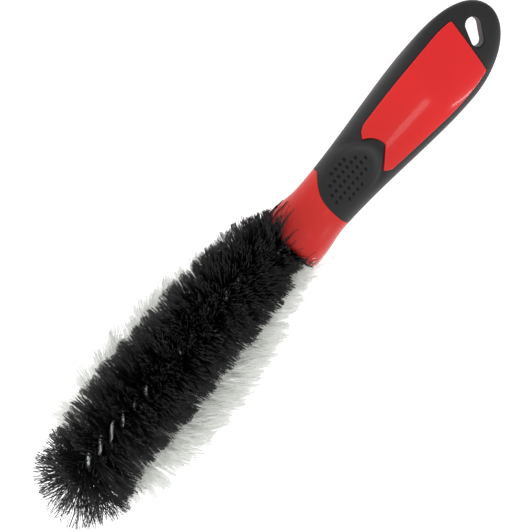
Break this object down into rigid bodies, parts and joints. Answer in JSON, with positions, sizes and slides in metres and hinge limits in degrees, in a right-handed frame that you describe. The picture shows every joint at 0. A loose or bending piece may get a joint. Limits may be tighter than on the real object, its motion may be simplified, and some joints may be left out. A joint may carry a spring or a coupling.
{
  "type": "wheel brush",
  "caption": "Hand brush for vehicle wheels: moulded handle with a rubber-like grip, thumb pad and hang slot, and a hairpin of twisted wire carrying black and white filament.",
  "frame": {"origin": "middle of the bottom of the bounding box, with the brush standing on its white filament and the handle level", "axes": "+X along the brush towards the hanging end, +Y across the handle, +Z out of the handle's front face, the side with the thumb pad"},
  "size_m": [0.3, 0.0674, 0.077],
  "materials": {
    "core_plastic": "gloss",
    "grip_rubber": "satin",
    "stem_wire": "satin",
    "black_filament": "satin",
    "white_filament": "satin"
  },
  "bodies": {
    "root": {"handle_core": "core_plastic", "grip_overmould": "grip_rubber", "stem_strand_a": "stem_wire", "stem_strand_b": "stem_wire", "black_bristles_01": "black_filament", "black_bristles_02": "black_filament", "black_bristles_03": "black_filament", "black_bristles_04": "black_filament", "black_bristles_05": "black_filament", "black_bristles_06": "black_filament", "black_bristles_07": "black_filament", "black_bristles_08": "black_filament", "black_bristles_09": "black_filament", "black_bristles_10": "black_filament", "white_bristles_01": "white_filament", "white_bristles_02": "white_filament", "white_bristles_03": "white_filament", "white_bristles_04": "white_filament", "white_bristles_05": "white_filament", "white_bristles_06": "white_filament", "white_bristles_07": "white_filament", "white_bristles_08": "white_filament"}
  },
  "joints": []
}
